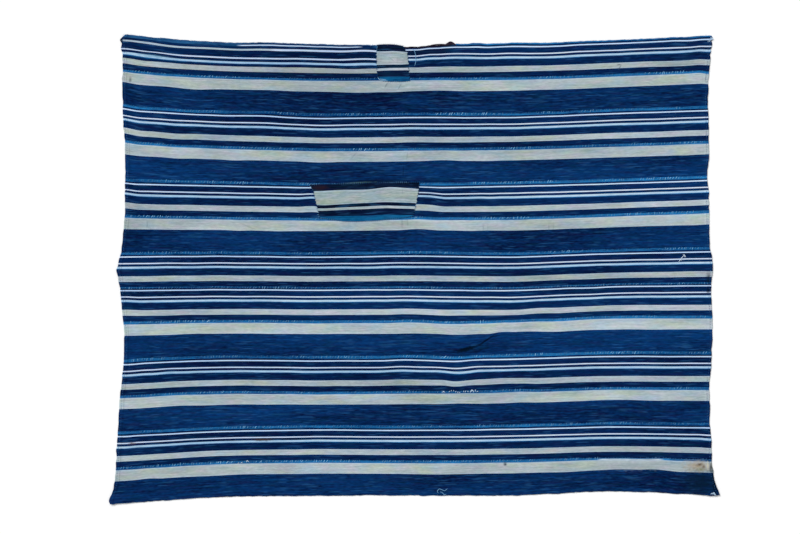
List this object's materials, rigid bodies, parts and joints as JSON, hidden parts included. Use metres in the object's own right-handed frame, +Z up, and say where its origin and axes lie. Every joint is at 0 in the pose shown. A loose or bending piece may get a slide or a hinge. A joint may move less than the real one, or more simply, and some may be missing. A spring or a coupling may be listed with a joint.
{
  "type": "striped cloth wrapper",
  "caption": "Indigo and white striped cotton cloth of narrow handwoven strips sewn edge to edge, hemmed at both ends and patched, laid out flat.",
  "frame": {"origin": "under the middle of the cloth's bounding box, on the surface it lies on", "axes": "+X along the strips to the right, +Y across the strips to the top edge, +Z up out of the upper face"},
  "size_m": [1.528, 1.1719, 0.0057],
  "materials": {
    "banded_cloth": "handwoven cotton, fine white, pale blue and indigo stripes, matt",
    "broad_cloth": "handwoven cotton, one broad white and one broad streaky indigo stripe, matt",
    "patch_cloth": "woven cotton, broad cream stripe with indigo and bright blue borders, matt",
    "sewing_thread": "cotton sewing thread, indigo, pale blue and white, matt"
  },
  "bodies": {
    "root": {"strip_01_left": "banded_cloth", "strip_01_right": "banded_cloth", "strip_02": "broad_cloth", "strip_03": "banded_cloth", "strip_04": "broad_cloth", "strip_05": "banded_cloth", "strip_06": "broad_cloth", "strip_07": "banded_cloth", "strip_08": "banded_cloth", "strip_09": "broad_cloth", "strip_10": "banded_cloth", "strip_11": "broad_cloth", "strip_12": "banded_cloth", "strip_13": "broad_cloth", "patch_top": "patch_cloth", "patch_middle": "patch_cloth"}
  },
  "joints": []
}
